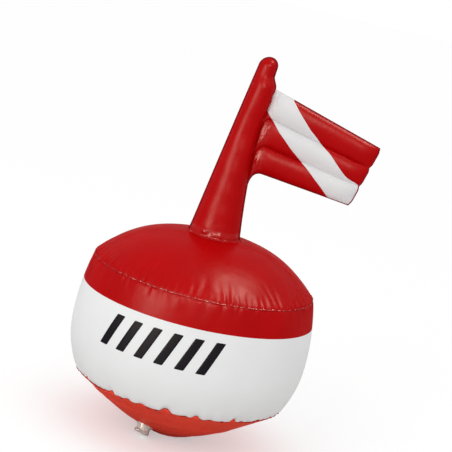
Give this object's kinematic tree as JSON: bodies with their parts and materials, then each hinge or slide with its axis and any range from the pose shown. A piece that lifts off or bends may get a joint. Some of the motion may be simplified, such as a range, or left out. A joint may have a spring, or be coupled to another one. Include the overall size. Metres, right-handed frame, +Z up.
{
  "type": "dive buoy",
  "caption": "Inflatable dive buoy: welded vinyl ball with a tapered mast and a quilted flag with a diagonal stripe, ballast foot, line tab and plugged inflation valve.",
  "frame": {"origin": "the centre of the flat foot under the ballast pocket, on the ball's axis", "axes": "+Z up along the ball's axis, the flag lies in the XZ plane and flies towards +X, the valve is low on the front towards -X and -Y, and the line tab low at the back towards +Y"},
  "size_m": [0.3258, 0.3, 0.4917],
  "materials": {
    "red_film": "glossy soft PVC film, red",
    "bottom_red_film": "glossy soft PVC film, orange-red",
    "white_film": "glossy soft PVC film, white",
    "clear_film": "clear soft PVC, slightly yellow",
    "lead": "dull cast metal",
    "brass": "plain brass"
  },
  "bodies": {
    "buoy": {"top_panel": "red_film", "shoulder_band": "red_film", "side_band": "white_film", "bottom_panel": "bottom_red_film", "mast_flag_front": "red_film", "mast_flag_back": "red_film", "flag_stripe_front": "white_film", "flag_stripe_back": "white_film", "ballast_weight": "lead", "ballast_pocket": "bottom_red_film", "line_tab": "bottom_red_film", "line_eyelet": "brass", "eyelet_washer": "brass", "valve_flange": "clear_film"},
    "stem": {"valve_stem": "clear_film"},
    "plug": {"valve_plug": "clear_film"},
    "flap": {"valve_flap": "clear_film"}
  },
  "joints": [
    {"name": "stem_slide", "type": "slide", "parent": "buoy", "child": "stem", "axis": [0.2268, 0.391, 0.892], "range_m": [0, 0.0058]},
    {"name": "plug_hinge", "type": "hinge", "parent": "stem", "child": "plug", "pos_m": [-0.03619, -0.0624, 0.01166], "axis": [-0.865, 0.5017, 0], "range_deg": [0, 135]},
    {"name": "flap_hinge", "type": "hinge", "parent": "stem", "child": "flap", "pos_m": [-0.02324, -0.04007, 0.0201], "axis": [-0.865, 0.5017, 0], "range_deg": [0, 45]}
  ]
}
